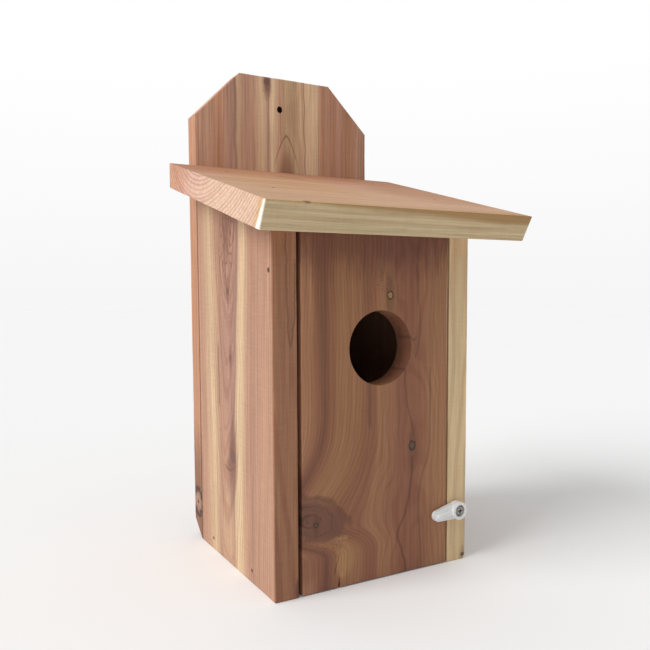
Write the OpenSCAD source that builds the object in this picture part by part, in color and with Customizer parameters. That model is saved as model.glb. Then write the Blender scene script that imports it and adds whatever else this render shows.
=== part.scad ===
// Cedar birdhouse of half-inch boards: a tall back board to hang it by, a roof that
// slopes to the front, and a front door that swings up on two nails and is held shut
// by a plastic turn button.
// X runs across the front, Y from front to back and Z up. The origin is on the ground,
// under the middle of the overall width and depth.

/* [Overall] */
// Width of the roof, the widest board
roof_w = 152.4; // [140:0.1:180]
// Depth from the roof's front edge to the back board's rear face
overall_d = 139.7; // [130:0.1:155]
// Height of the back board
overall_h = 279.4; // [260:0.1:320]

/* [Box] */
// Thickness of the back board, the sides, the floor and the door
board_t = 12.7; // [11:0.1:15]
// Width across both sides, and of the back board
box_w = 117.5; // [114:0.1:122]
// Depth of each side board, from front edge to back board
side_d = 100; // [96:0.1:106]
// Sideways place of the box under the roof
box_x = -1.4; // [-4:0.1:4]
// Width of each sawn-off top corner of the back board
corner_w = 28; // [10:0.5:40]
// Height of each sawn-off top corner of the back board
corner_h = 27.4; // [10:0.1:32]

/* [Roof] */
// Thickness of the roof board
roof_t = 13.5; // [11:0.1:16]
// Slope of the roof, in degrees
roof_slope = 16; // [12:0.5:18]
// Height of the roof's top face where it meets the back board
roof_rear_z = 222.8; // [221:0.1:226]
// How far the lower front edge stands back from the upper one
roof_bevel = 6.5; // [3:0.1:10]

/* [Front door] */
// Gap between the door and the left side
door_gap_left = 2.2; // [0.6:0.1:3]
// Gap between the door and the right side
door_gap_right = 1; // [0.6:0.1:3]
// Gap under the door, above the bottom of the sides
door_gap_bottom = 0.6; // [0.4:0.1:2]
// Gap between the door and the roof, at the door's front face
door_gap_top = 2.9; // [1.5:0.1:6]
// Diameter of the entrance hole
entrance_d = 38.1; // [28:0.1:42]
// Sideways place of the entrance hole, from the middle of the box
entrance_x = 2.1; // [-8:0.1:8]
// Height of the entrance hole's centre
entrance_z = 119.9; // [100:0.1:130]
// Distance from the door's top edge down to the two nails that it swings on
pivot_drop = 18.6; // [14:0.1:24]
// Distance of those nails behind the door's front face
pivot_depth = 4.2; // [3.5:0.1:6.3]

/* [Turn button] */
// Height of the button's screw
button_z = 29.4; // [20:0.1:60]
// Distance from the screw to the right side's outer face
button_edge = 8; // [5:0.1:8]
// Diameter of the button's round head
button_head_d = 9.6; // [9:0.1:12]
// Thickness of the head
button_head_t = 5; // [4.5:0.1:6]
// Width of the arm's round tip
button_tip_d = 5.6; // [4:0.1:7]
// Distance from the screw to the centre of the tip
button_reach = 13.3; // [13:0.1:20]
// Thickness of the arm
button_arm_t = 3; // [2.5:0.1:3.5]
// Angle of the arm below level, in degrees
button_tilt = 7; // [0:1:20]

/* [Holes] */
// Diameter of the hanging hole in the back board
hang_d = 3.2; // [3:0.1:6]
// Sideways place of the hanging hole, from the middle of the box
hang_x = -4; // [-8:0.1:8]
// Height of the hanging hole
hang_z = 260.8; // [245:0.1:262]
// Diameter of the four drain holes in the floor
drain_d = 6.4; // [4:0.1:8]
// Spacing of the drain holes, both ways
drain_pitch = 34; // [28:0.5:38]

/* [Nails] */
// Diameter of the thin nails that hold the boards together
brad_d = 1.4; // [1.2:0.1:1.8]
// Diameter of their heads
brad_head_d = 2.2; // [2:0.1:2.8]
// Length of the thin nails
brad_len = 31.8; // [28:0.1:32]
// Diameter of the two pivot nails
pivot_d = 1.8; // [1.6:0.1:2.2]
// Diameter of their heads
pivot_head_d = 2.6; // [2.4:0.1:3.2]
// Length of the pivot nails
pivot_len = 30; // [24:0.5:34]

/* [Hidden] */
$fn = 64;

// Planes of the box, from front to back
rear_y = overall_d / 2;
back_y = rear_y - board_t;
front_y = back_y - side_d;
eaves_y = -overall_d / 2;
left_x = box_x - box_w / 2;
right_x = box_x + box_w / 2;
inner_w = box_w - 2 * board_t;

// Faces of the roof at a distance y from the origin
function roof_top(y) = roof_rear_z - (back_y - y) * tan(roof_slope);
function roof_under(y) = roof_top(y) - roof_t / cos(roof_slope);

// The door between the sides, and the floor behind it
door_x = left_x + board_t + door_gap_left;
door_w = inner_w - door_gap_left - door_gap_right;
door_top_z = roof_under(front_y) - door_gap_top;
pivot_y = front_y + pivot_depth;
pivot_z = door_top_z - pivot_drop;
floor_gap = 0.5;
floor_y = front_y + board_t + floor_gap;

// Nail heads lie a little below the wood
nail_set = 0.8;
nail_head_t = 0.9;
nail_point = 2.5;
nail_fit = 0.02;
pivot_play = 0.05;

// Places of the nails
floor_nail_y = [27.3, 81.2];
back_nail_z = [22, 95, 168];
back_floor_nail_x = [-14, 14];
roof_nail_y = [16.4, 76];
roof_nail_in = 9.2;
back_roof_nail_x = [-35, 35];
back_roof_nail_drop = 10;

// The button and its screw; the arm is narrower than the head by the inset on each side
button_gap = 0.3;
button_boss_d = 8;
button_inset = 0.2;
button_rib_w = 2.6;
button_rib_t = 1.1;
recess_d = 6.4;
recess_depth = 2.2;
screw_d = 3;
screw_play = 0.05;
screw_len = 18;
screw_point = 3;
screw_head_d = 5.6;
screw_head_t = 1.7;
screw_edge_t = 0.7;
cross_w = 0.9;
cross_len = 3;
cross_depth = 1.1;

// Tools run past the face that they cut
past = 1;

// An outline given as [y, z] points, made w wide along X from x
module across(x, w, outline) {
    translate([x, 0, 0])
        rotate([90, 0, 90])
            linear_extrude(w)
                polygon(outline);
}

// A round tool along Y through [x, z], from y to y + length
module bore_y(x, z, y, length, d) {
    translate([x, y, z])
        rotate([-90, 0, 0])
            cylinder(d = d, h = length);
}

// A nail driven along +Z from the wood's surface at z = 0
module nail(d, head_d, length) {
    rotate_extrude()
        polygon([
            [0, nail_set],
            [head_d / 2, nail_set],
            [head_d / 2, nail_set + nail_head_t],
            [d / 2, nail_set + nail_head_t],
            [d / 2, nail_set + length - nail_point],
            [0, nail_set + length]
        ]);
}

// The hole that a nail leaves in the wood
module nail_hole(d, head_d, length, play = nail_fit) {
    rotate_extrude()
        polygon([
            [0, -past],
            [head_d / 2 + nail_fit, -past],
            [head_d / 2 + nail_fit, nail_set + nail_head_t],
            [d / 2 + play, nail_set + nail_head_t],
            [d / 2 + play, nail_set + length + play],
            [0, nail_set + length + play]
        ]);
}

module brad() {
    nail(brad_d, brad_head_d, brad_len);
}

module brad_hole() {
    nail_hole(brad_d, brad_head_d, brad_len);
}

// Puts its children at the outer face of a side, driven inwards.
// hand is -1 for the left side and 1 for the right side.
module into_side(hand, y, z) {
    translate([hand < 0 ? left_x : right_x, y, z])
        rotate([0, -90 * hand, 0])
            children();
}

// Puts its children at the back board's rear face, driven forwards
module into_back(x, z) {
    translate([x, rear_y, z])
        rotate([90, 0, 0])
            children();
}

module at_pivot(hand) {
    into_side(hand, pivot_y, pivot_z) children();
}

module at_floor_nails(hand) {
    for (y = floor_nail_y)
        into_side(hand, front_y + y, board_t / 2) children();
}

module at_back_nails(hand) {
    for (z = back_nail_z)
        into_back(box_x + hand * (box_w - board_t) / 2, z) children();
}

module at_back_floor_nails() {
    for (x = back_floor_nail_x)
        into_back(box_x + x, board_t / 2) children();
}

module at_back_roof_nails() {
    for (x = back_roof_nail_x)
        into_back(box_x + x, roof_rear_z - back_roof_nail_drop) children();
}

// Square to the roof's top face, down into the top of a side
module at_roof_nails(hand) {
    for (y = roof_nail_y)
        translate([
            box_x + hand * (box_w / 2 - roof_nail_in),
            front_y + y,
            roof_top(front_y + y)
        ])
            rotate([180 + roof_slope, 0, 0])
                children();
}

// Puts its children on the right side's front edge, with Z outwards
module at_button() {
    translate([right_x - button_edge, front_y, button_z])
        rotate([90, 0, 0])
            children();
}

module back_board() {
    low_z = overall_h - corner_h;
    high_x = right_x - corner_w;
    color("#b58a69")
        difference() {
            translate([0, rear_y, 0])
                rotate([90, 0, 0])
                    linear_extrude(board_t)
                        polygon([
                            [left_x, 0],
                            [right_x, 0],
                            [right_x, low_z],
                            [high_x, overall_h],
                            [left_x + corner_w, overall_h],
                            [left_x, low_z]
                        ]);
            bore_y(box_x + hang_x, hang_z, back_y - past, board_t + 2 * past, hang_d);
            at_back_nails(-1) brad_hole();
            at_back_nails(1) brad_hole();
            at_back_floor_nails() brad_hole();
            at_back_roof_nails() brad_hole();
        }
}

// One side board before its holes
module side_board(hand) {
    across(
        hand < 0 ? left_x : right_x - board_t,
        board_t,
        [
            [front_y, 0],
            [back_y, 0],
            [back_y, roof_under(back_y)],
            [front_y, roof_under(front_y)]
        ]
    );
}

module side_holes(hand) {
    at_floor_nails(hand) brad_hole();
    at_back_nails(hand) brad_hole();
    at_roof_nails(hand) brad_hole();
    at_pivot(hand) nail_hole(pivot_d, pivot_head_d, pivot_len);
}

module left_side() {
    color("#cda07f")
        difference() {
            side_board(-1);
            side_holes(-1);
        }
}

module right_side() {
    color("#d9c39c")
        difference() {
            side_board(1);
            side_holes(1);
            at_button()
                translate([0, 0, -screw_len])
                    cylinder(d = screw_d + 2 * nail_fit, h = screw_len + past);
        }
}

module floor_board() {
    color("#c2946f")
        difference() {
            translate([left_x + board_t, floor_y, 0])
                cube([inner_w, back_y - floor_y, board_t]);
            for (sx = [-1, 1], sy = [-1, 1])
                translate([
                    box_x + sx * drain_pitch / 2,
                    (floor_y + back_y) / 2 + sy * drain_pitch / 2,
                    -past
                ])
                    cylinder(d = drain_d, h = board_t + 2 * past);
            at_floor_nails(-1) brad_hole();
            at_floor_nails(1) brad_hole();
            at_back_floor_nails() brad_hole();
        }
}

module roof() {
    under_y = eaves_y + roof_bevel;
    color("#cfa57e")
        difference() {
            across(
                -roof_w / 2,
                roof_w,
                [
                    [back_y, roof_rear_z],
                    [eaves_y, roof_top(eaves_y)],
                    [under_y, roof_under(under_y)],
                    [back_y, roof_under(back_y)]
                ]
            );
            at_roof_nails(-1) brad_hole();
            at_roof_nails(1) brad_hole();
            at_back_roof_nails() brad_hole();
        }
}

module front_door() {
    color("#9c7158")
        difference() {
            translate([door_x, front_y, door_gap_bottom])
                cube([door_w, board_t, door_top_z - door_gap_bottom]);
            bore_y(
                box_x + entrance_x,
                entrance_z,
                front_y - past,
                board_t + 2 * past,
                entrance_d
            );
            for (hand = [-1, 1])
                at_pivot(hand)
                    nail_hole(pivot_d, pivot_head_d, pivot_len, pivot_play);
        }
}

module left_pivot_nail() {
    color("#8d8f92")
        at_pivot(-1) nail(pivot_d, pivot_head_d, pivot_len);
}

module right_pivot_nail() {
    color("#8d8f92")
        at_pivot(1) nail(pivot_d, pivot_head_d, pivot_len);
}

// Outline of two discs on the X axis and the tangents that join them
module teardrop(head_r, tip_r, reach) {
    lean = acos((head_r - tip_r) / reach);
    side = [cos(lean), sin(lean)];
    circle(r = head_r);
    translate([reach, 0]) circle(r = tip_r);
    polygon([
        head_r * side,
        [reach, 0] + tip_r * side,
        [reach, 0] + tip_r * [side.x, -side.y],
        head_r * [side.x, -side.y]
    ]);
}

module turn_button() {
    color("#eeeef0")
        at_button()
            rotate([0, 0, 180 + button_tilt])
                difference() {
                    union() {
                        translate([0, 0, button_gap])
                            linear_extrude(button_arm_t)
                                teardrop(button_head_d / 2 - button_inset, button_tip_d / 2, button_reach);
                        cylinder(d = button_boss_d, h = button_gap + past);
                        translate([0, 0, button_gap])
                            cylinder(d = button_head_d, h = button_head_t);
                        translate([0, -button_rib_w / 2, button_gap])
                            cube([button_reach, button_rib_w, button_arm_t + button_rib_t]);
                        translate([button_reach, 0, button_gap])
                            cylinder(d = button_rib_w, h = button_arm_t + button_rib_t);
                    }
                    translate([0, 0, -past])
                        cylinder(d = screw_d + 2 * screw_play, h = button_head_t + 2 * past);
                    translate([0, 0, button_gap + button_head_t - recess_depth])
                        cylinder(d = recess_d, h = recess_depth + past);
                }
}

module turn_button_screw() {
    seat_z = button_gap + button_head_t - recess_depth + screw_play;
    top_z = seat_z + screw_head_t;
    color("#9a9c9e")
        at_button()
            difference() {
                rotate_extrude()
                    polygon([
                        [0, -screw_len],
                        [screw_d / 2, screw_point - screw_len],
                        [screw_d / 2, seat_z],
                        [screw_head_d / 2, seat_z],
                        [screw_head_d / 2, seat_z + screw_edge_t],
                        [screw_head_d / 3, top_z],
                        [0, top_z]
                    ]);
                for (turn = [0, 90])
                    rotate([0, 0, turn])
                        translate([-cross_len / 2, -cross_w / 2, top_z - cross_depth])
                            cube([cross_len, cross_w, cross_depth + past]);
            }
}

module left_floor_nails() {
    color("#8d8f92")
        at_floor_nails(-1) brad();
}

module right_floor_nails() {
    color("#8d8f92")
        at_floor_nails(1) brad();
}

module left_back_nails() {
    color("#8d8f92")
        at_back_nails(-1) brad();
}

module right_back_nails() {
    color("#8d8f92")
        at_back_nails(1) brad();
}

module back_floor_nails() {
    color("#8d8f92")
        at_back_floor_nails() brad();
}

module left_roof_nails() {
    color("#8d8f92")
        at_roof_nails(-1) brad();
}

module right_roof_nails() {
    color("#8d8f92")
        at_roof_nails(1) brad();
}

module back_roof_nails() {
    color("#8d8f92")
        at_back_roof_nails() brad();
}

back_board();
left_side();
right_side();
floor_board();
roof();
front_door();
left_pivot_nail();
right_pivot_nail();
turn_button();
turn_button_screw();
left_floor_nails();
right_floor_nails();
left_back_nails();
right_back_nails();
back_floor_nails();
left_roof_nails();
right_roof_nails();
back_roof_nails();
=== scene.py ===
"""The looks of a cedar birdhouse: six worn cedar boards, steel nails and a moulded plastic turn button.

Lengths are in millimetres wherever a name or a list gives them, and become metres by MM.
x runs to the right, y to the rear and z up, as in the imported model.
A board has coordinates of its own: u across the grain, v along it, and w into the wood from the outer face.
"""
import math
from typing import NamedTuple, Optional

import bmesh
import bpy
from mathutils import Matrix, Vector, noise


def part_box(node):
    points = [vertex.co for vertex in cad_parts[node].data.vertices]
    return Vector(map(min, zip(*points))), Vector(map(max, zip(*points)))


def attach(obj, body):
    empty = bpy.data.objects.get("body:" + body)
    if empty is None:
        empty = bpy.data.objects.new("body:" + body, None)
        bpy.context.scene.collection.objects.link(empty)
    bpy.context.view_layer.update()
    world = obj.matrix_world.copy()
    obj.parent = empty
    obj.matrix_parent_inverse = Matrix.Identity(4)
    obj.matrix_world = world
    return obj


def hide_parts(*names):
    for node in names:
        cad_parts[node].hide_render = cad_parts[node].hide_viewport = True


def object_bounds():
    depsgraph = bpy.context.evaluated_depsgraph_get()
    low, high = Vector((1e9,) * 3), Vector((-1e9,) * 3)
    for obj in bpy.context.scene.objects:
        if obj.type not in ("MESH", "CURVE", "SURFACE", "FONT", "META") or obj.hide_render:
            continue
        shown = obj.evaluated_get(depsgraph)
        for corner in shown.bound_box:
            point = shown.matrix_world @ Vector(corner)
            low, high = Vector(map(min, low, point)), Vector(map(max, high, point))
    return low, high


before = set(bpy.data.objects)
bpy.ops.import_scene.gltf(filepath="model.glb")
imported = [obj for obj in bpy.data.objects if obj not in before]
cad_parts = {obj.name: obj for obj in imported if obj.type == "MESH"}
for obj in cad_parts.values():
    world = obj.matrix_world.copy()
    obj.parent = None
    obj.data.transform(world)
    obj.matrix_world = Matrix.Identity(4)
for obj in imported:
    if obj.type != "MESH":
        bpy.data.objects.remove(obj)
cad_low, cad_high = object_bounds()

MM = 0.001
X = Vector((1, 0, 0))
Y = Vector((0, 1, 0))
Z = Vector((0, 0, 1))

# Camera: its place, its angles in degrees, its lens and its shift.
CAMERA_AT = (-197.5, -326.0, 146.6)
CAMERA_YAW = 28.0
CAMERA_PITCH = 4.26
CAMERA_ROLL = -0.43
CAMERA_LENS = 37.67
CAMERA_SHIFT = (0.0415, 0.0328)

# Studio: the light dome's strength at the horizon and overhead, a soft sun, the share of light that the
# floor returns, its radius, the backdrop's strength at the horizon, where it meets the lit floor, and how
# high the backdrop turns fully white.
DOME_LOW = 0.22
DOME_HIGH = 0.75
SUN_FROM = (-1.0, -0.02, 0.64)
SUN_STRENGTH = 2.3
SUN_ANGLE = 38.0
FLOOR_SHADE = 0.95
FLOOR_RADIUS_M = 9.0
HORIZON = 0.922
BACKDROP_RISE = 0.3

# Board meshes: the eased radius of the edges, how far a planed face wanders inwards, the extra cuts beside
# each edge, the spacing of the other cuts, the smallest outer face in square millimetres, and the angle in
# degrees above which an edge stays sharp.
EDGE_RADIUS = 0.55
FACE_RELIEF = 0.10
EDGE_CUTS = (0.15, 0.4, 0.8)
GRID = 4.0
OUTER_FACE = 60.0
SMOOTH_ANGLE = 32

# The turn button's mesh: the size of its voxels and how often they are relaxed.
BUTTON_VOXEL = 0.16
BUTTON_RELAX = 5

# Outer faces of the box, as packed.
LEFT_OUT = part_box("left_side")[0].x / MM
RIGHT_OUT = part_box("right_side")[1].x / MM
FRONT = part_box("left_side")[0].y / MM
BACK_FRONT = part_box("back_board")[0].y / MM
BACK_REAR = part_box("back_board")[1].y / MM
TOP = cad_high.z / MM

# The roof: its slope in degrees, how far its front edge leans back for each millimetre down, where that
# edge is, counted down the slope from the top rear edge, and half its width.
ROOF_SLOPE = 16.0
EDGE_LEAN = 0.214
ROOF_FRONT = 131.2
ROOF_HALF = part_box("roof")[1].x / MM

# An end of the grain that stays out of the wood, where the sawn end isn't to look paler.
NO_START = -1
NO_END = 300

# Wood tones, as sRGB hex, and how far they are all darkened for the studio's light.
SHADE = 0.86
TONES = {
    "cream": "#E6C8A2",
    "butter": "#DAB997",
    "sand": "#CFA98A",
    "salmon": "#C89C82",
    "rose": "#BE947C",
    "clay": "#B48C7B",
    "umber": "#8A6455",
    "tan": "#B28260",
    "russet": "#AB7A5B",
    "brick": "#9F6C54",
    "plum": "#83594A",
    "copper": "#BC896A",
    "honey": "#C99E6B",
    "straw": "#E9CFA2",
    "olive": "#CBB892",
    "wheat": "#BF9E7C",
    "ochre": "#A87C46",
    "bark": "#4A332A",
    "core": "#7A4A2E",
    "slate": "#6E6457",
}

# Linear colours. The first three multiply the wood under them.
LATE_WOOD = (0.66, 0.5, 0.46, 1.0)
END_GRAIN = (1.14, 1.26, 1.46, 1.0)
WARM_STREAK = (1.03, 0.96, 0.90, 1.0)
# Painted shade for the hanging hole's rim.
HOLE_PAINTED_SHADE = (0.01, 0.008, 0.006, 1.0)
# Pale sapwood with a painted highlight, for the roof's sunlit left end.
SAPWOOD_AND_HIGHLIGHT = (0.93, 0.9, 0.82, 1.0)
NAIL_DARK = (0.16, 0.14, 0.13, 1.0)
NAIL_BRIGHT = (0.36, 0.34, 0.33, 1.0)
SCREW_DARK = (0.26, 0.25, 0.23, 1.0)
SCREW_BRIGHT = (0.52, 0.5, 0.47, 1.0)
PLASTIC_DARK = (0.74, 0.74, 0.73, 1.0)
PLASTIC_BRIGHT = (0.84, 0.84, 0.83, 1.0)
WHITE = (1.0, 1.0, 1.0, 1.0)


class Knot(NamedTuple):
    """A knot in a board. deep is None where it runs right through, and halo darkens the wood round it."""

    across: float
    along: float
    deep: Optional[float]
    radius: float
    middle: str
    ring: str
    halo: float


class Patch(NamedTuple):
    """A soft blotch of another tone."""

    across: float
    along: float
    half_width: float
    half_length: float
    tone: str
    amount: float


def linear(tone):
    """A named tone as linear RGBA, shaded for the studio's light."""
    text = TONES[tone].lstrip("#")
    values = [int(text[i : i + 2], 16) / 255 for i in (0, 2, 4)]
    values = [v / 12.92 if v <= 0.04045 else ((v + 0.055) / 1.055) ** 2.4 for v in values]
    return [SHADE * v for v in values] + [1.0]


# ---------------------------------------------------------------- shader nodes


class Graph:
    """A material's node tree in short form: each call adds a node and returns its output."""

    def __init__(self, name):
        self.material = bpy.data.materials.new(name)
        self.material.use_nodes = True
        self.tree = self.material.node_tree
        self.tree.nodes.clear()

    def node(self, kind, **settings):
        made = self.tree.nodes.new("ShaderNode" + kind)
        for key, value in settings.items():
            setattr(made, key, value)
        return made

    def feed(self, socket, value):
        if isinstance(value, bpy.types.NodeSocket):
            self.tree.links.new(value, socket)
        else:
            socket.default_value = value

    def math(self, operation, *values, clamp=False):
        made = self.node("Math", operation=operation, use_clamp=clamp)
        for socket, value in zip(made.inputs, values):
            self.feed(socket, value)
        return made.outputs[0]

    def add(self, a, b):
        return self.math("ADD", a, b)

    def sub(self, a, b):
        return self.math("SUBTRACT", a, b)

    def mul(self, a, b, *more):
        product = self.math("MULTIPLY", a, b)
        return self.mul(product, *more) if more else product

    def absolute(self, value):
        return self.math("ABSOLUTE", value)

    def power(self, value, exponent):
        return self.math("POWER", value, exponent)

    def fade(self, value):
        """1 at nought, and less the larger the value is."""
        return self.math("EXPONENT", self.mul(value, -1.0))

    def vector(self, x, y, z):
        made = self.node("CombineXYZ")
        for socket, value in zip(made.inputs, (x, y, z)):
            self.feed(socket, value)
        return made.outputs[0]

    def place(self, *pairs):
        """A place to look up noise at: each pair is a coordinate and its rate per millimetre."""
        parts = [self.mul(coordinate, rate) for coordinate, rate in pairs]
        return self.vector(*parts, *[0.0] * (3 - len(parts)))

    def object_place(self, *rates):
        """A place to look up noise at, by the object's x, y and z and their rates per metre."""
        made = self.node("Mapping")
        made.inputs["Scale"].default_value = rates
        self.feed(made.inputs["Vector"], self.node("TexCoord").outputs["Object"])
        return made.outputs[0]

    def noise(self, place, detail=2.0, rough=0.5):
        made = self.node("TexNoise")
        self.feed(made.inputs["Vector"], place)
        made.inputs["Scale"].default_value = 1.0
        made.inputs["Detail"].default_value = detail
        made.inputs["Roughness"].default_value = rough
        return made.outputs["Fac"]

    def wobble(self, width, place, detail=2.0, rough=0.5):
        """Noise about nought, within this width."""
        return self.mul(self.sub(self.noise(place, detail, rough), 0.5), width)

    def step(self, value, low, high):
        """0 below low, 1 above high, smooth between; low may be the higher number."""
        made = self.node("MapRange", interpolation_type="SMOOTHSTEP")
        self.feed(made.inputs["Value"], value)
        made.inputs["From Min"].default_value = min(low, high)
        made.inputs["From Max"].default_value = max(low, high)
        made.inputs["To Min"].default_value = 0.0 if low < high else 1.0
        made.inputs["To Max"].default_value = 1.0 if low < high else 0.0
        return made.outputs["Result"]

    def ramp(self, factor, stops, blend="LINEAR"):
        made = self.node("ValToRGB")
        line = made.color_ramp
        line.interpolation = blend
        while len(line.elements) < len(stops):
            line.elements.new(1.0)
        for element, (place, colour) in zip(line.elements, stops):
            element.position = place
            element.color = colour
        self.feed(made.inputs["Fac"], factor)
        return made.outputs["Color"]

    def mix(self, factor, a, b, blend="MIX"):
        made = self.node("Mix", data_type="RGBA", blend_type=blend)
        self.feed(made.inputs["Factor"], factor)
        self.feed(made.inputs["A"], a)
        self.feed(made.inputs["B"], b)
        return made.outputs["Result"]

    def tint(self, factor, colour, tone):
        """The colour with this share of a named tone over it."""
        return self.mix(factor, colour, linear(tone))

    def bump(self, height, strength, distance):
        made = self.node("Bump")
        made.inputs["Strength"].default_value = strength
        made.inputs["Distance"].default_value = distance * MM
        self.feed(made.inputs["Height"], height)
        return made.outputs["Normal"]

    def finish(self, colour, roughness, normal, **constants):
        shader = self.node("BsdfPrincipled")
        self.feed(shader.inputs["Base Color"], colour)
        self.feed(shader.inputs["Roughness"], roughness)
        self.feed(shader.inputs["Normal"], normal)
        for key, value in constants.items():
            shader.inputs[key.replace("_", " ")].default_value = value
        out = self.node("OutputMaterial")
        self.tree.links.new(shader.outputs[0], out.inputs["Surface"])
        return self.material


# ---------------------------------------------------------------- marks in the wood


def wood_axes(g, across, along, depth, origin):
    """The board's own coordinates u, v and w in millimetres, counted from the origin."""
    place = g.node("TexCoord").outputs["Object"]
    found = []
    for axis in (across, along, depth):
        dot = g.node("VectorMath", operation="DOT_PRODUCT")
        g.feed(dot.inputs[0], place)
        dot.inputs[1].default_value = axis / MM
        found.append(g.sub(dot.outputs["Value"], axis.dot(Vector(origin))))
    return found


def distance(g, parts):
    """The length of a vector by its parts, each (socket, centre, reach); a centre of None is left out."""
    total = None
    for socket, centre, reach in parts:
        if centre is None:
            continue
        part = g.mul(g.sub(socket, centre), 1 / reach)
        square = g.mul(part, part)
        total = square if total is None else g.add(total, square)
    return g.math("SQRT", total)


def knot_warp(g, u, v, knot):
    """The grain flows round a knot: lines near it are labelled as if they ran closer to its centre."""
    du = g.sub(u, knot.across)
    dv = g.sub(v, knot.along)
    wide = g.power(g.mul(du, 1 / (2.6 * knot.radius)), 2.0)
    tall = g.power(g.mul(dv, 1 / (6.0 * knot.radius)), 2.0)
    pull = g.fade(g.add(wide, tall))
    return g.sub(u, g.mul(du, g.mul(pull, 0.75)))


def knot_paint(g, colour, u, v, w, knot):
    """A knot's own colours: a dark, broken ring round a paler middle, and a dark halo along the grain."""
    ragged = g.wobble(1.0, g.place((u, 0.55), (v, 0.4), (w, 0.3)), 4.0, 0.65)
    centre = [(u, knot.across), (v, knot.along), (w, knot.deep)]
    near = [(*part, share * knot.radius) for part, share in zip(centre, (1.0, 1.25, 1.25))]
    wide = [(*part, share * knot.radius) for part, share in zip(centre, (1.0, 3.4, 1.5))]
    reach = g.add(distance(g, near), g.mul(ragged, 1.3))
    halo = g.add(distance(g, wide), g.mul(ragged, 1.6))
    colour = g.tint(g.mul(g.step(halo, 2.3, 0.6), knot.halo), colour, knot.ring)
    middle, ring = linear(knot.middle), linear(knot.ring)
    blend = [0.5 * (a + b) for a, b in zip(middle, ring)]
    stops = [(0.0, ring), (0.2, middle), (0.45, blend), (0.62, ring), (0.78, ring), (1.0, blend)]
    inside = g.ramp(g.math("MULTIPLY", reach, 0.8, clamp=True), stops)
    return g.mix(g.mul(g.step(reach, 1.35, 0.75), 0.92), colour, inside)


def patch_paint(g, colour, u, v, w, patch):
    """A patch drawn out along the grain, with an uneven edge."""
    ragged = g.wobble(1.1, g.place((u, 0.3), (v, 0.06), (w, 0.1)), 4.0, 0.6)
    oval = distance(g, [(u, patch.across, patch.half_width), (v, patch.along, patch.half_length)])
    return g.tint(g.mul(g.step(g.add(oval, ragged), 1.2, 0.35), patch.amount), colour, patch.tone)


def dashes(g, colour, u, v, patch):
    """Short marks across the grain inside a patch, where the saw or planer tore the fibres."""
    oval = distance(g, [(u, patch.across, patch.half_width), (v, patch.along, patch.half_length)])
    marks = g.step(g.noise(g.place((u, 0.9), (v, 2.4)), 1.0), 0.56, 0.66)
    return g.tint(g.mul(marks, g.step(oval, 1.1, 0.6), patch.amount), colour, patch.tone)


def trace(g, along, points):
    """A smooth path through the points (along, across), as the place across for each place along."""
    low, high = points[0][0], points[-1][0]
    least = min(across for _, across in points)
    span = max(max(across for _, across in points) - least, 1.0)
    share = g.math("DIVIDE", g.sub(along, low), high - low, clamp=True)
    stops = [((a - low) / (high - low), ((b - least) / span,) * 3 + (1.0,)) for a, b in points]
    return g.add(g.mul(g.ramp(share, stops, "B_SPLINE"), span), least)


def stroke(g, colour, along, across, points, width, tone, amount):
    """A thin line of another tone along a path, fading at both ends."""
    low, high = points[0][0], points[-1][0]
    wave = g.wobble(2.4, g.vector(g.mul(along, 0.12), low, high), 3.0)
    near = g.absolute(g.add(g.sub(across, trace(g, along, points)), wave))
    ends = g.mul(g.step(along, low, low + 4.0), g.step(along, high, high - 4.0))
    return g.tint(g.mul(g.step(near, width, 0.15 * width), ends, amount), colour, tone)


# ---------------------------------------------------------------- cedar


def band_colours(g, line, v, w, bands):
    """Colour bands along the grain, with slightly ragged edges."""
    across = g.add(line, g.wobble(3.6, g.place((line, 0.5), (v, 0.012), (w, 0.4)), 4.0, 0.6))
    first, last = bands[0][0], bands[-1][0]
    share = g.math("DIVIDE", g.sub(across, first), last - first, clamp=True)
    return g.ramp(share, [((place - first) / (last - first), linear(tone)) for place, tone in bands])


def growth_rings(g, line, v, w, pith, tilt, wander, ring_width):
    """Rings about the pith: arcs on the ends, lines and arches on the faces. Late wood is near 1."""
    side = g.sub(line, pith[0])
    deep = g.add(g.sub(w, pith[1]), g.mul(v, tilt))
    if wander:
        slow = g.vector(g.mul(line, 0.03), g.mul(v, 0.014), 3.0)
        deep = g.add(deep, g.wobble(2 * wander, slow, 2.0))
    radius = g.math("SQRT", g.add(g.mul(side, side), g.mul(deep, deep)))
    count = g.mul(radius, 1 / ring_width)
    uneven = g.noise(g.vector(count, g.mul(v, 0.003), 0.0), 3.0, 0.6)
    turn = g.mul(g.add(count, g.mul(uneven, 1.3)), math.tau)
    return g.add(g.mul(uneven, 0.6), g.add(g.mul(g.math("SINE", turn), 0.2), 0.2))


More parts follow.
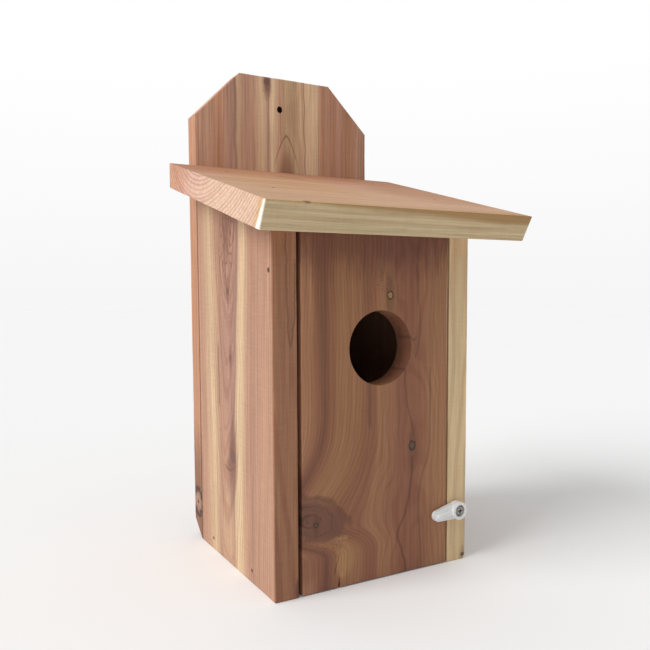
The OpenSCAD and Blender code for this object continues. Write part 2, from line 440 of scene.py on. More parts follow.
def cedar(
    name, axes, bands, pith, ends, tilt=0.0, wander=0.0, rings=0.5, ring_width=2.0, fibre=1.0, ripple=0.12,
    glow=1.0, knots=(), patches=(), bend=None, extra=None,
):
    """Sawn cedar.

    bands: (across, tone). pith: (across, deep) of the heart of the tree, which comes nearer the face by tilt
    for each millimetre up, and wanders by up to that many millimetres. ends: where the grain starts and
    stops, so that the sawn ends are paler and show their rings. rings, fibre, ripple: how strong the rings,
    the streaks and the saw's marks are. glow: the brightness of the whole board. bend moves the lines of the
    grain, and extra paints the board's own marks over it.
    """
    g = Graph(name)
    u, v, w = wood_axes(g, *axes)
    line = g.add(u, g.wobble(5.0, g.place((u, 0.018), (v, 0.007), (w, 0.018)), 1.0))
    if bend:
        line = bend(g, line, v, w)
    for knot in knots:
        line = knot_warp(g, line, v, knot)

    colour = band_colours(g, line, v, w, bands)
    for patch in patches:
        colour = patch_paint(g, colour, u, v, w, patch)

    ring = growth_rings(g, line, v, w, pith, tilt, wander, ring_width)
    late = g.step(ring, 0.46, 0.68)
    end = g.add(g.step(v, ends[0] + 0.7, ends[0] + 0.3), g.step(v, ends[1] - 0.7, ends[1] - 0.3))
    dark = g.add(g.mul(end, 0.55 - rings), rings)
    colour = g.mix(g.mul(late, dark), colour, LATE_WOOD, "MULTIPLY")
    colour = g.mix(end, colour, END_GRAIN, "MULTIPLY")

    # Streaks along the grain, some of them warmer, then broad weathering and the saw's marks.
    streak = g.wobble(0.6 * fibre, g.place((line, 0.42), (v, 0.009), (w, 0.42)), 3.0, 0.7)
    fine = g.noise(g.place((line, 1.2), (v, 0.016), (w, 1.2)), 4.0, 0.75)
    warm = g.noise(g.vector(g.mul(line, 0.7), g.mul(v, 0.01), g.add(g.mul(w, 0.7), 7.0)), 2.0)
    colour = g.mix(g.step(warm, 0.35, 0.65), g.mix(0.5, colour, WARM_STREAK, "MULTIPLY"), colour)
    broad = g.wobble(0.2, g.place((u, 0.03), (v, 0.02), (w, 0.03)), 3.0)
    saw = g.noise(g.place((u, 0.11), (v, 0.75), (w, 0.11)), 3.0)
    shade = g.add(streak, g.mul(g.sub(fine, 0.5), 1.1 * fibre))
    shade = g.add(g.add(shade, broad), g.mul(g.sub(saw, 0.5), ripple))
    shade = g.mul(g.add(shade, 1.0), glow)
    colour = g.mix(1.0, colour, g.vector(shade, shade, shade), "MULTIPLY")

    if extra:
        colour = extra(g, colour, u, v, w)
    for knot in knots:
        colour = knot_paint(g, colour, u, v, w, knot)

    height = g.add(g.mul(fine, 0.6), g.add(g.mul(ring, 0.35), g.mul(saw, 0.4)))
    roughness = g.add(g.mul(late, -0.08), g.add(g.mul(fine, 0.25), 0.58))
    return g.finish(colour, roughness, g.bump(height, 0.4, 0.3), Specular_IOR_Level=0.3)


# ---------------------------------------------------------------- board meshes


def flatten(shape):
    bmesh.ops.dissolve_limit(shape, angle_limit=0.01, verts=shape.verts, edges=shape.edges)


def solid_of(node):
    """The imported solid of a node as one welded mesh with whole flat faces."""
    shape = bmesh.new()
    shape.from_mesh(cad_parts[node].data)
    bmesh.ops.remove_doubles(shape, verts=shape.verts, dist=1e-6)
    flatten(shape)
    return shape


def outer_planes(shape):
    """The planes of a board's large outer faces, each (outward normal, distance from the origin)."""
    found = []
    for face in shape.faces:
        if face.calc_area() < OUTER_FACE * MM * MM:
            continue
        normal = face.normal.copy()
        reach = normal.dot(face.verts[0].co)
        if any(normal.dot(n) > 0.9999 and abs(reach - r) < 1e-5 for n, r in found):
            continue
        if max(normal.dot(vert.co) for vert in shape.verts) < reach + 1e-5:
            found.append((normal, reach))
    return found


def slice_at(shape, point, normal, clear=False):
    """Adds edges where a plane crosses the shape, or cuts off what is beyond it and closes the cut."""
    everything = shape.verts[:] + shape.edges[:] + shape.faces[:]
    made = bmesh.ops.bisect_plane(
        shape, geom=everything, dist=1e-7, plane_co=point, plane_no=normal, clear_outer=clear
    )
    if clear:
        rim = [e for e in made["geom_cut"] if isinstance(e, bmesh.types.BMEdge)]
        bmesh.ops.contextual_create(shape, geom=rim)
        bmesh.ops.recalc_face_normals(shape, faces=shape.faces)


def carve(shape, cutters):
    """Cuts closed wedges out of the shape. Each cutter is a list of points whose hull is taken away."""
    base = bpy.data.objects.new("carved", bpy.data.meshes.new("carved"))
    shape.to_mesh(base.data)
    bpy.context.scene.collection.objects.link(base)
    tool = bpy.data.objects.new("cutter", bpy.data.meshes.new("cutter"))
    bpy.context.scene.collection.objects.link(tool)
    cutting = bmesh.new()
    for points in cutters:
        corners = [cutting.verts.new(Vector(p) * MM) for p in points]
        bmesh.ops.convex_hull(cutting, input=corners)
    cutting.to_mesh(tool.data)
    cutting.free()
    change = base.modifiers.new("carve", "BOOLEAN")
    change.object = tool
    change.operation = "DIFFERENCE"
    change.solver = "EXACT"
    result = base.evaluated_get(bpy.context.evaluated_depsgraph_get()).to_mesh()
    shape.clear()
    shape.from_mesh(result)
    bmesh.ops.remove_doubles(shape, verts=shape.verts, dist=1e-6)
    flatten(shape)
    for o in (base, tool):
        bpy.data.objects.remove(o)


def ease(place, planes, radius):
    """A point of a sharp-edged solid moved on to the same solid with its edges rounded to a radius."""
    near = [(n, radius - (r - n.dot(place))) for n, r in planes]
    near = [(n, a) for n, a in near if a > 0]
    if len(near) < 2:
        return place
    near = sorted(near, key=lambda item: -item[1])[:3]
    if len(near) == 3:
        rows = Matrix([n for n, a in near])
        if abs(rows.determinant()) > 0.05:
            push = rows.inverted() @ Vector([a for n, a in near])
            if push.length > radius and all(push.dot(n) > 0 for n, a in near):
                return place - push * (1 - radius / push.length)
    (n1, a1), (n2, a2) = near[:2]
    lean = n1.dot(n2)
    if abs(lean) > 0.999:
        return place
    share1 = (a1 - lean * a2) / (1 - lean * lean)
    share2 = (a2 - lean * a1) / (1 - lean * lean)
    if share1 <= 0 or share2 <= 0:
        return place
    push = n1 * share1 + n2 * share2
    if push.length <= radius:
        return place
    return place - push * (1 - radius / push.length)


def wear(shape, planes, seed, torn):
    """Rounds the edges unevenly and lets the planed faces wander inwards; the planes in torn are rough."""
    shift = Vector((seed * 3.7, seed * 1.3, seed * 2.1))

    def bumps(place, size):
        return noise.noise(place / size + shift)

    for vert in shape.verts:
        place = vert.co / MM
        hold = 0.55 + 0.45 * bumps(place, 16) + 0.25 * bumps(place, 4)
        moved = ease(vert.co.copy(), planes, max(0.15, hold) * EDGE_RADIUS * MM)
        for index, (normal, reach) in enumerate(planes):
            if reach - normal.dot(vert.co) > 1e-6:
                continue
            if index in torn:
                depth = 0.35 + 0.5 * bumps(place, 2.2) + 0.3 * bumps(place, 0.9)
            else:
                depth = FACE_RELIEF * (0.5 + 0.5 * bumps(place, 22) + 0.15 * bumps(place, 5))
            moved = moved - normal * (max(0.0, depth) * MM)
        vert.co = moved


def grid(shape, axes, planes):
    """Cuts the shape's faces into a fine grid along its own axes, finer along its outer edges."""
    for axis in axes:
        low = min(axis.dot(vert.co) for vert in shape.verts)
        high = max(axis.dot(vert.co) for vert in shape.verts)
        count = max(2, round((high - low) / (GRID * MM)))
        for i in range(1, count):
            slice_at(shape, axis * (low + (high - low) * i / count), axis)
    for normal, reach in planes:
        for inset in EDGE_CUTS:
            slice_at(shape, normal * (reach - inset * MM), normal)


def declare(piece, node, body):
    """Adds a piece to the scene, riding on a body, in place of its CAD node."""
    bpy.context.scene.collection.objects.link(piece)
    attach(piece, body)
    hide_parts(node)


def board(name, node, body, material, axes, seed, chips=(), wedges=()):
    """A cedar board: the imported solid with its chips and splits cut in, and its edges and faces worn."""
    shape = solid_of(node)
    for point, normal in chips:
        slice_at(shape, Vector(point) * MM, Vector(normal), clear=True)
    planes = outer_planes(shape)
    cuts = [Vector(normal).normalized() for _, normal in chips]
    torn = [i for i, (normal, _) in enumerate(planes) if any(normal.dot(cut) > 0.999 for cut in cuts)]
    if wedges:
        carve(shape, wedges)
    grid(shape, axes, planes)
    wear(shape, planes, seed, torn)

    many = [face for face in shape.faces if len(face.verts) > 4]
    bmesh.ops.triangulate(shape, faces=many)
    bmesh.ops.dissolve_degenerate(shape, edges=shape.edges, dist=1e-7)
    mesh = bpy.data.meshes.new(name)
    shape.to_mesh(mesh)
    shape.free()
    mesh.materials.append(material)
    for face in mesh.polygons:
        face.use_smooth = True
    mesh.set_sharp_from_angle(angle=math.radians(SMOOTH_ANGLE))
    declare(bpy.data.objects.new(name, mesh), node, body)


# ---------------------------------------------------------------- left side


def left_bend(g, line, v, w):
    """The two pale bands part upwards, as the cut nears the heart of the tree."""
    rise = g.mul(g.math("MAXIMUM", g.sub(v, 25.0), 0.0), 1 / 135)
    rise = g.math("MINIMUM", rise, 1.1)
    side = g.sub(line, 63.0)
    near = g.fade(g.power(g.mul(side, 1 / 26), 2.0))
    pull = g.sub(0.72, g.mul(g.step(side, -6.0, 6.0), 0.44))
    return g.sub(line, g.mul(g.mul(g.mul(rise, rise), near), g.mul(side, pull)))


def left_marks(g, colour, u, v, w):
    """Dark wavy lines where the heart of the tree comes to the face, and the marks of the front edge."""
    wave = g.mul(g.noise(g.place((u, 0.09), (v, 0.035), (w, 0.05)), 3.0), 10.0)
    lines = g.absolute(g.sub(g.math("FRACT", wave), 0.5))
    zone = g.step(distance(g, [(u, 55.0, 12.0), (v, 176.0, 27.0)]), 1.2, 0.5)
    colour = g.tint(g.mul(g.step(lines, 0.24, 0.02), zone, 0.75), colour, "plum")

    # Lines along the grain, as (path, width, tone, amount).
    for path, width, tone, amount in (
        ([(143, 56), (150, 61), (160, 65.5), (175, 66), (190, 64)], 0.9, "umber", 0.6),
        ([(146, 55), (156, 57), (166, 59), (176, 58), (192, 61)], 1.1, "plum", 0.7),
        ([(146, 54), (158, 50), (170, 47), (182, 45), (192, 44)], 0.9, "plum", 0.6),
        ([(62, 50), (90, 51.5), (115, 52), (135, 50), (160, 43)], 0.7, "umber", 0.55),
        ([(84, 68.5), (95, 69), (105, 69), (122, 70)], 1.3, "umber", 0.8),
    ):
        colour = stroke(g, colour, v, u, path, width, tone, amount)
    lip = [(44.5, 66), (46.5, 56), (52, 53), (57, 52), (64, 55)]
    colour = stroke(g, colour, u, v, lip, 1.1, "plum", 0.7)

    # On the front edge, a narrow V and a dark spot in the corner beside the door.
    edge = g.step(u, 1.6, 0.8)
    for path in (
        [(121, 9.5), (128, 8), (150, 7.5), (178, 7)],
        [(121, 9), (128, 10.5), (138, 11.5), (165, 12)],
    ):
        colour = g.mix(edge, colour, stroke(g, colour, v, w, path, 0.8, "bark", 0.4))
    spot = g.step(distance(g, [(v, 4.0, 6.0), (w, 12.7, 2.2)]), 1.2, 0.6)
    colour = g.tint(g.mul(edge, spot), colour, "plum")

    # The shadow of the joint with the back board.
    joint = [(-6, 99.5), (60, 99.5), (140, 99.5), (220, 99.5)]
    return stroke(g, colour, v, u, joint, 1.0, "plum", 0.75)


def make_left_side():
    bands = [
        (-10, "salmon"), (14, "salmon"), (26, "rose"), (32, "salmon"), (37, "butter"), (40, "cream"),
        (45.5, "cream"), (48, "butter"), (49.5, "clay"), (53, "clay"), (58, "salmon"), (66, "rose"),
        (71, "sand"), (75, "butter"), (78.5, "cream"), (81, "butter"), (87, "sand"), (92, "salmon"),
        (112, "rose"),
    ]
    knots = [
        Knot(50.5, 61, None, 3.2, "slate", "plum", 0.6),
        Knot(52, 114, None, 1.4, "umber", "plum", 0.5),
        Knot(54.5, 149, None, 1.6, "slate", "plum", 0.6),
    ]
    patches = [
        Patch(57, 130, 9, 60, "clay", 0.6),
        Patch(56, 182, 9, 20, "umber", 0.6),
        Patch(57, 55, 6, 4, "umber", 0.4),
        Patch(50, 52, 4, 30, "umber", 0.35),
        Patch(25, 30, 2, 25, "clay", 0.4),
        Patch(58, 16, 11, 30, "sand", 0.85),
        # The whole front edge.
        Patch(0, 90, 1.6, 260, "russet", 0.95),
    ]
    axes = (Y, Z, X, (LEFT_OUT, FRONT, 0))
    material = cedar(
        "cedar_left_look", axes, bands, (58, 21), (NO_START, NO_END), tilt=0.106, wander=4, rings=0.4,
        ripple=0.24, glow=0.94, knots=knots, patches=patches, bend=left_bend, extra=left_marks,
    )
    board("left_side_board", "left_side", "box", material, (Y, Z, X), 1)


# ---------------------------------------------------------------- right side


def make_right_side():
    bands = [
        (-4, "straw"), (8, "cream"), (22, "butter"), (34, "sand"), (60, "salmon"), (84, "rose"),
        (108, "salmon"),
    ]
    knots = [Knot(0, 2.7, 1.9, 0.9, "slate", "bark", 0.3), Knot(72, 54, None, 3.2, "umber", "plum", 0.5)]
    patches = [Patch(50, 150, 6, 70, "rose", 0.4), Patch(80, 40, 5, 60, "clay", 0.4)]
    axes = (Y, Z, -X, (RIGHT_OUT, FRONT, 0))
    material = cedar(
        "cedar_right_look", axes, bands, (74, 30), (NO_START, NO_END), tilt=0.05, wander=5, rings=0.3,
        fibre=0.6, knots=knots, patches=patches,
    )
    # The lower front corner is broken off beside a small knot.
    chip = ((RIGHT_OUT, FRONT, 2.4), (0.75, -0.35, -0.55))
    board("right_side_board", "right_side", "box", material, (Y, Z, X), 2, chips=[chip])


# ---------------------------------------------------------------- back board


def back_marks(g, colour, u, v, w):
    """A dark arch over a warmer field, painted shade at the hanging hole and inside, and two dark lines."""
    # The arch is the tip of a growth ring that the saw just reached. It is on the front face only.
    side = g.absolute(g.sub(u, 59.2))
    drop = g.mul(g.power(g.mul(side, 1 / 5.3), 1.5), 9.4)
    uneven = g.wobble(2.5, g.vector(g.mul(u, 0.3), g.mul(v, 0.2), w), 2.0)
    under = g.add(g.sub(g.sub(245.4, drop), v), uneven)
    near_face = g.mul(g.step(w, 6.0, 3.0), g.step(v, 196.0, 212.0))
    field = g.mul(g.step(under, -1.0, 20.0), g.step(side, 8.0, 3.0), near_face)
    colour = g.tint(g.mul(field, 0.8), colour, "brick")
    edge = g.mul(g.step(g.absolute(under), 1.5, 0.2), g.step(v, 222.0, 234.0), near_face)
    colour = g.tint(g.mul(edge, 0.7), colour, "umber")

    # Painted shade: the hanging hole's rim is painted near black.
    rim = distance(g, [(u, 54.75, 1.75), (v, 260.8, 1.9)])
    rim = g.add(rim, g.wobble(0.5, g.vector(u, v, w), 3.0))
    colour = g.mix(g.step(rim, 1.15, 0.95), colour, HOLE_PAINTED_SHADE)
    # Painted shade: the inside face below the roof is darkened, where the closed box lies in shade.
    inside = g.mul(g.step(v, 212.0, 204.0), g.step(w, 1.0, 0.6))
    colour = g.tint(g.mul(inside, 0.6), colour, "bark")

    # Two thin dark lines run the whole height.
    for place, width in ((24.9, 0.8), (72.3, 0.4)):
        wave = g.wobble(5.0, g.vector(0.0, g.mul(v, 0.03), place), 2.0)
        near = g.absolute(g.sub(g.add(u, wave), place))
        colour = g.tint(g.mul(g.step(near, 2.0 * width, 0.2 * width), 0.55), colour, "umber")
    return colour


def make_back_board():
    bands = [
        (-4, "rose"), (10, "salmon"), (15, "copper"), (18, "rose"), (23, "clay"), (25.5, "sand"),
        (28, "sand"), (30, "rose"), (36, "rose"), (39, "sand"), (43, "butter"), (45, "butter"),
        (46, "clay"), (47, "clay"), (48, "cream"), (51, "butter"), (54, "salmon"), (58, "wheat"),
        (66, "wheat"), (70, "sand"), (74, "butter"), (80, "butter"), (83, "rose"), (85, "tan"),
        (88, "rose"), (93, "copper"), (97, "rose"), (104, "tan"), (112, "rose"), (122, "umber"),
    ]
    knots = [
        Knot(46.2, 276.5, None, 1.7, "umber", "umber", 0.8),
        Knot(0, 21.5, 7, 7.6, "rose", "bark", 0.5),
        Knot(83, 96, None, 3.4, "clay", "plum", 0.6),
    ]
    patches = [
        # The whole left edge.
        Patch(0, 90, 0.8, 220, "russet", 0.75),
        Patch(46.5, 250, 1.2, 45, "clay", 0.6),
        Patch(100, 250, 18, 60, "umber", 0.25),
    ]
    axes = (X, Z, Y, (LEFT_OUT, BACK_FRONT, 0))
    material = cedar(
        "cedar_back_look", axes, bands, (60, 34), (NO_START, TOP), wander=3, rings=0.15, fibre=1.2,
        glow=1.27, knots=knots, patches=patches, extra=back_marks,
    )
    # The lower left corner is broken off at the rear.
    chip = ((LEFT_OUT, BACK_REAR, 10.0), (-0.474, 0.577, -0.664))
    board("back_board_plank", "back_board", "box", material, (X, Z, Y), 3, chips=[chip])


# ---------------------------------------------------------------- floor board


def make_floor():
    low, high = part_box("floor_board")
    bands = [(-4, "salmon"), (24, "rose"), (40, "sand"), (58, "butter"), (80, "salmon"), (100, "rose")]
    axes = (Y, X, Z, (0, FRONT, 0))
    material = cedar("cedar_floor_look", axes, bands, (50, 26), (low.x / MM, high.x / MM), wander=3)
    board("floor_plank", "floor_board", "box", material, (X, Y, Z), 4)


# ---------------------------------------------------------------- front door


def door_bend(g, line, v, w):
    """Above the large branch the grain sweeps down to the left edge, and below it runs straight again."""
    near = g.fade(g.power(g.mul(line, 1 / 36), 2.0))
    sweep = g.step(v, 98.0, 32.0)
    sweep = g.mul(g.mul(sweep, sweep), g.step(v, 17.0, 31.0))
    return g.add(line, g.mul(g.mul(near, sweep), 24.0))


def door_branch(g, colour, u, v):
    """A large branch stub in the lower left: an oval of dark wood whose rings lean down to the right."""
    across = g.sub(u, 5.0)
    above = g.sub(v, 37.0)
    long_way = g.sub(g.mul(across, 0.94), g.mul(above, 0.34))
    short_way = g.add(g.mul(across, 0.34), g.mul(above, 0.94))
    ragged = g.wobble(0.5, g.place((u, 0.1), (v, 0.16)), 3.0, 0.55)
    reach = g.add(distance(g, [(long_way, 0.0, 22.0), (short_way, 0.0, 11.5)]), ragged)
    inside = g.mul(g.step(reach, 1.15, 0.65), g.step(v, 22.0, 28.0))
    colour = g.tint(g.mul(inside, 0.95), colour, "plum")
    rings = g.noise(g.place((reach, 6.0), (long_way, 0.04)), 3.0, 0.7)
    colour = g.tint(g.mul(g.step(rings, 0.46, 0.7), inside, 0.6), colour, "bark")
    rim = g.mul(g.step(g.absolute(g.sub(reach, 1.0)), 0.16, 0.02), g.step(short_way, 1.0, 5.0))
    return g.tint(g.mul(rim, 0.35), colour, "bark")


def door_marks(g, colour, u, v, w):
    """The branch with a reddish line under it, dark lines that sweep round the knots, and torn fibres."""
    colour = door_branch(g, colour, u, v)
    inner = [
        (-4, 62.5), (6, 61.5), (15, 58.5), (20, 56), (25, 57), (32, 61.5), (39, 63.5), (50, 65.5), (64, 66),
    ]
    outer = [(-4, 72), (7, 72), (22, 71), (36, 69.5), (49, 71), (58, 76), (70, 77.5), (110, 77.5)]
    above = [(70, 66.5), (78, 66.5), (88, 62.5), (103, 60.5), (125, 61)]
    below_hole = [(78, 39), (90, 39), (97, 39), (106, 39)]
    hole_side = [(112, 67), (122, 70), (132, 71), (146, 69.5), (165, 68)]
    for path, width, amount in (
        (inner, 1.2, 0.45),
        (outer, 0.9, 0.35),
        (above, 1.0, 0.35),
        (below_hole, 2.2, 0.3),
        (hole_side, 1.0, 0.3),
    ):
        colour = stroke(g, colour, v, u, path, width, "bark", amount)
    tip = [(61, 132), (63, 126), (66, 122), (69, 125), (72, 133)]
    colour = stroke(g, colour, u, v, tip, 1.1, "bark", 0.35)

    colour = dashes(g, colour, u, v, Patch(46, 154, 7, 7, "bark", 0.6))
    colour = dashes(g, colour, u, v, Patch(14, 25, 26, 6, "core", 0.8))
    wave = g.wobble(7.0, g.place((u, 0.12)), 3.0)
    near = g.absolute(g.sub(g.add(v, wave), 27.5))
    return g.tint(g.mul(g.step(near, 2.2, 0.2), g.step(u, 36.0, 18.0), 0.55), colour, "plum")


def make_door():
    low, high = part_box("front_door")
    left = low.x / MM
    bands = [
        (-4, "copper"), (5, "copper"), (9, "brick"), (13, "plum"), (16, "brick"), (20, "russet"),
        (23, "tan"), (33, "russet"), (38, "brick"), (42, "brick"), (45, "tan"), (52, "russet"),
        (57, "brick"), (68, "brick"), (74, "russet"), (80, "tan"), (94, "tan"),
    ]
    knots = [
        Knot(51.6, 146.5, None, 2.0, "honey", "bark", 0.3),
        Knot(65.8, 67.7, None, 2.2, "slate", "bark", 0.3),
        Knot(7.5, 34.5, None, 1.1, "slate", "bark", 0.3),
    ]
    patches = [
        Patch(24, 14, 6, 10, "honey", 0.6),
        Patch(4, 14, 10, 10, "brick", 0.7),
        Patch(22, 26, 5, 1.4, "honey", 0.8),
        # Painted shade under the roof's overhang, across the door's top.
        Patch(44, 180, 80, 26, "plum", 0.95),
        Patch(70, 20, 10, 22, "brick", 0.5),
        Patch(36, 60, 4, 40, "brick", 0.4),
        Patch(22, 120, 32, 90, "ochre", 0.15),
        Patch(89.2, 140, 1.3, 45, "butter", 0.8),
    ]
    axes = (X, Z, Y, (left, FRONT, 0))
    material = cedar(
        "cedar_door_look", axes, bands, (66, 26), (low.z / MM, high.z / MM), tilt=-0.02, wander=7,
        rings=0.32, ring_width=1.6, fibre=0.8, glow=0.95, knots=knots, patches=patches, bend=door_bend,
        extra=door_marks,
    )
    # A split runs up from the bottom edge of the front face, and a thin leaning crack starts above it.
    split = [
        (left + 19.8, FRONT - 1, -1), (left + 21.5, FRONT - 1, -1), (left + 20.9, FRONT - 1, 8),
        (left + 20.4, FRONT + 9, -1), (left + 21.0, FRONT + 9, -1), (left + 20.6, FRONT + 6, 6),
    ]
    crack = [
        (left + 17.6, FRONT - 1, 7.5), (left + 18.1, FRONT - 1, 7.5), (left + 21.0, FRONT - 1, 18.5),
        (left + 21.3, FRONT - 1, 18.5), (left + 18.3, FRONT + 3, 9.5), (left + 20.6, FRONT + 3, 17),
    ]
    wedges = [split, crack]
    board("front_door_board", "front_door", "door", material, (X, Z, Y), 5, wedges=wedges)


# ---------------------------------------------------------------- roof


def roof_bend(g, line, v, w):
    """Counts the grain from the front edge, which leans back under the top face."""
    return g.add(line, g.mul(w, EDGE_LEAN))


def roof_marks(g, colour, u, v, w):
    """Reddish heartwood on the front edge's top, slanting saw marks, a crack, a stain and a pale end with a
    painted highlight.
    """
    near = g.step(g.add(u, g.mul(w, EDGE_LEAN)), ROOF_FRONT, ROOF_FRONT + 0.6)
    # The heartwood band widens from left to right.
    depth = g.add(g.mul(g.add(v, ROOF_HALF), 2.2 / ROOF_HALF), 0.2)
    over = g.sub(g.add(depth, g.wobble(2.5, g.place((v, 0.03)), 3.0)), w)
    colour = g.tint(g.mul(g.step(over, -1.6, 1.4), near, 0.8), colour, "ochre")
    slant = g.noise(g.vector(g.mul(g.add(v, w), 0.5), g.mul(g.sub(v, w), 0.05), 0.0), 1.0)
    marks = g.mul(g.step(slant, 0.5, 0.66), g.step(v, -30.0, -50.0))
    colour = g.tint(g.mul(marks, near, 0.3), colour, "butter")

    colour = stroke(g, colour, v, u, [(-22, 24.5), (-16, 27), (-10, 30), (-3, 32.5)], 1.5, "bark", 0.6)
    stain = distance(g, [(u, ROOF_FRONT - 0.2, 1.6), (v, -56.0, 2.2), (w, 0.0, 1.0)])
    colour = g.tint(g.mul(g.step(stain, 1.3, 0.5), 0.8), colour, "core")

    # Pale sapwood with a painted highlight, in a narrow wedge on the left end beside the front edge.
    wedge = g.step(g.add(u, g.mul(w, 0.42)), ROOF_FRONT - 1.3, ROOF_FRONT + 0.2)
    pale = g.mul(wedge, g.step(v, 0.8 - ROOF_HALF, 0.3 - ROOF_HALF))
    return g.mix(g.mul(pale, 0.85), colour, SAPWOOD_AND_HIGHLIGHT)


def make_roof():
    tilt = Matrix.Rotation(math.radians(ROOF_SLOPE), 3, "X")
    down = tilt @ -Y
    up = tilt @ Z
    low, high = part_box("roof")
    top_rear = (0, high.y / MM, high.z / MM)
    bands = [
        (-4, "copper"), (20, "copper"), (40, "salmon"), (80, "sand"), (104, "sand"), (124, "sand"),
        (128.6, "honey"), (130.2, "olive"), (150, "olive"),
    ]
    patches = [
        Patch(40, -10, 10, 40, "tan", 0.3),
        Patch(60, 60, 50, 45, "tan", 0.55),
        Patch(20, -40, 20, 40, "copper", 0.4),
        Patch(29, -12.5, 2, 7, "slate", 0.5),
        Patch(140, 55, 14, 50, "ochre", 0.2),
        Patch(60, -30, 60, 40, "honey", 0.35),
    ]
    axes = (down, X, -up, top_rear)
    material = cedar(
        "cedar_roof_look", axes, bands, (47, -46), (low.x / MM, high.x / MM), rings=0.3, ring_width=2.3,
        fibre=0.9, glow=1.15, patches=patches, bend=roof_bend, extra=roof_marks,
    )
    board("roof_plank", "roof", "box", material, (X, down, up), 6)


# ---------------------------------------------------------------- metal and plastic


def steel(name, dark, bright, rust):
    """Drawn steel with fine scratches and a little rust in the low places."""
    g = Graph(name)
    coarse = g.noise(g.object_place(900, 900, 900), 3.0)
    scratch = g.noise(g.object_place(6000, 6000, 1500), 2.0)
    colour = g.mix(coarse, dark, bright)
    colour = g.tint(g.mul(g.step(coarse, 0.5, 0.75), rust), colour, "core")
    roughness = g.add(g.mul(scratch, 0.25), 0.32)
    return g.finish(colour, roughness, g.bump(scratch, 0.2, 0.02), Metallic=0.9)


def dress_metal():
    """The nails and the screw keep their CAD shape and get a worn steel."""
    nails = steel("nail_steel_look", NAIL_DARK, NAIL_BRIGHT, 0.5)
    screw = steel("screw_steel_look", SCREW_DARK, SCREW_BRIGHT, 0.2)
    for name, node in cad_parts.items():
        if name.endswith("_nails") or name.endswith("_nail"):
            node.material_slots[0].material = nails
        elif name.endswith("_screw"):
            node.material_slots[0].material = screw


def button_plastic():
    """White moulded plastic, a little cloudy, with a fine skin."""
    g = Graph("button_plastic_look")
    cloud = g.noise(g.object_place(180, 180, 180), 2.0)
    skin = g.noise(g.object_place(2600, 2600, 2600), 2.0)
    colour = g.mix(cloud, PLASTIC_DARK, PLASTIC_BRIGHT)
    roughness = g.add(g.mul(skin, 0.16), 0.26)
    normal = g.bump(skin, 0.12, 0.02)
    return g.finish(colour, roughness, normal, Subsurface_Weight=0.05, Specular_IOR_Level=0.5)


def make_button():
    """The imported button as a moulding: remeshed finely and relaxed, so that every edge is a little round."""
    shape = solid_of("turn_button")
    mesh = bpy.data.meshes.new("turn_button_moulding")
    bmesh.ops.triangulate(shape, faces=shape.faces)
    shape.to_mesh(mesh)
    shape.free()
    mesh.materials.append(button_plastic())
    piece = bpy.data.objects.new("turn_button_moulding", mesh)
    skin = piece.modifiers.new("skin", "REMESH")
    skin.mode = "VOXEL"
    skin.voxel_size = BUTTON_VOXEL * MM
    skin.use_smooth_shade = True
    relax = piece.modifiers.new("relax", "SMOOTH")
    relax.factor = 0.5
    relax.iterations = BUTTON_RELAX
    declare(piece, "turn_button", "button")


# ---------------------------------------------------------------- studio


def make_ground():
    """A wide, pale, matt floor."""
    shape = bmesh.new()
    bmesh.ops.create_circle(shape, cap_ends=True, segments=96, radius=FLOOR_RADIUS_M)
    mesh = bpy.data.meshes.new("studio_floor")
    shape.to_mesh(mesh)
    shape.free()
    g = Graph("studio_floor_look")
    mottle = g.noise(g.node("TexCoord").outputs["Object"], 2.0)
    dark = (FLOOR_SHADE - 0.01,) * 3 + (1,)
    pale = (FLOOR_SHADE + 0.01,) * 3 + (1,)
    colour = g.mix(mottle, dark, pale)
    mesh.materials.append(g.finish(colour, 0.95, g.bump(mottle, 0.02, 0.1), Specular_IOR_Level=0.0))
    ground = bpy.data.objects.new("studio_floor", mesh)
    bpy.context.scene.collection.objects.link(ground)


def sky_strength(tree, height, low, high, top=1.0):
    """A white sky whose strength goes from low at the horizon to high at the height named top."""
    grow = tree.nodes.new("ShaderNodeMapRange")
    grow.inputs["From Max"].default_value = top
    grow.inputs["To Min"].default_value = low
    grow.inputs["To Max"].default_value = high
    sky = tree.nodes.new("ShaderNodeBackground")
    sky.inputs["Color"].default_value = WHITE
    tree.links.new(height, grow.inputs["Value"])
    tree.links.new(grow.outputs["Result"], sky.inputs["Strength"])
    return sky.outputs[0]


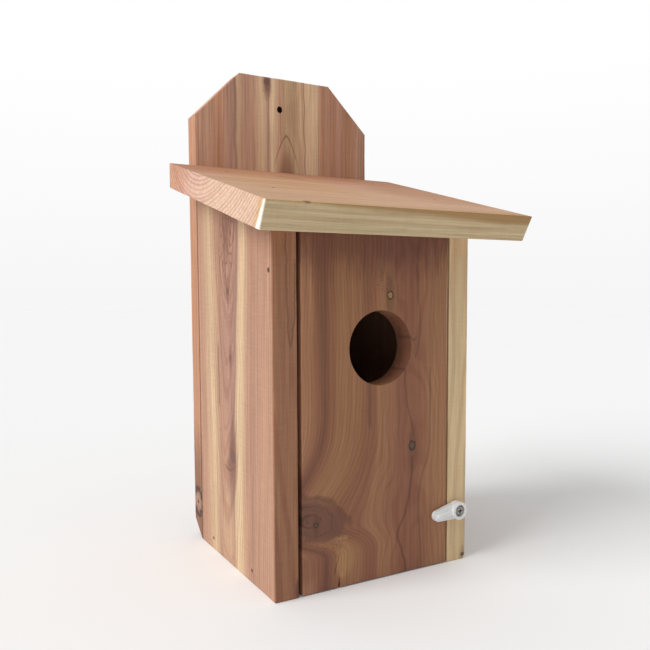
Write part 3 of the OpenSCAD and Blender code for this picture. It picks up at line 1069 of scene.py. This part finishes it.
def make_world():
    """A soft dome lights the object, and the camera sees a paler backdrop in its place."""
    world = bpy.data.worlds.new("studio")
    bpy.context.scene.world = world
    world.use_nodes = True
    tree = world.node_tree
    tree.nodes.clear()
    direction = tree.nodes.new("ShaderNodeTexCoord")
    parts = tree.nodes.new("ShaderNodeSeparateXYZ")
    path = tree.nodes.new("ShaderNodeLightPath")
    pick = tree.nodes.new("ShaderNodeMixShader")
    out = tree.nodes.new("ShaderNodeOutputWorld")
    tree.links.new(direction.outputs["Generated"], parts.inputs[0])
    dome = sky_strength(tree, parts.outputs["Z"], DOME_LOW, DOME_HIGH)
    backdrop = sky_strength(tree, parts.outputs["Z"], HORIZON, 1.0, BACKDROP_RISE)
    tree.links.new(path.outputs["Is Camera Ray"], pick.inputs[0])
    tree.links.new(dome, pick.inputs[1])
    tree.links.new(backdrop, pick.inputs[2])
    tree.links.new(pick.outputs[0], out.inputs["Surface"])


def make_sun():
    lamp = bpy.data.lights.new("key", "SUN")
    lamp.energy = SUN_STRENGTH
    lamp.angle = math.radians(SUN_ANGLE)
    key = bpy.data.objects.new("key", lamp)
    key.location = SUN_FROM
    key.rotation_mode = "QUATERNION"
    key.rotation_quaternion = (-Vector(SUN_FROM)).to_track_quat("-Z", "Y")
    bpy.context.scene.collection.objects.link(key)


def make_camera():
    data = bpy.data.cameras.new("camera")
    data.sensor_width = 36.0
    data.lens = CAMERA_LENS
    data.shift_x, data.shift_y = CAMERA_SHIFT
    data.clip_start = 0.01
    yaw, pitch, roll = (math.radians(a) for a in (CAMERA_YAW, CAMERA_PITCH, CAMERA_ROLL))
    ahead = Vector((math.sin(yaw) * math.cos(pitch), math.cos(yaw) * math.cos(pitch), -math.sin(pitch)))
    level = Vector((math.cos(yaw), -math.sin(yaw), 0))
    above = level.cross(ahead)
    right = level * math.cos(roll) + above * math.sin(roll)
    top = above * math.cos(roll) - level * math.sin(roll)
    camera = bpy.data.objects.new("camera", data)
    camera.matrix_world = Matrix((right, top, -ahead)).transposed().to_4x4()
    camera.location = Vector(CAMERA_AT) * MM
    bpy.context.scene.collection.objects.link(camera)
    bpy.context.scene.camera = camera


make_camera()
make_left_side()
make_right_side()
make_back_board()
make_floor()
make_door()
make_roof()
make_button()
dress_metal()
make_ground()
make_world()
make_sun()
bpy.context.scene.view_settings.view_transform = "Standard"
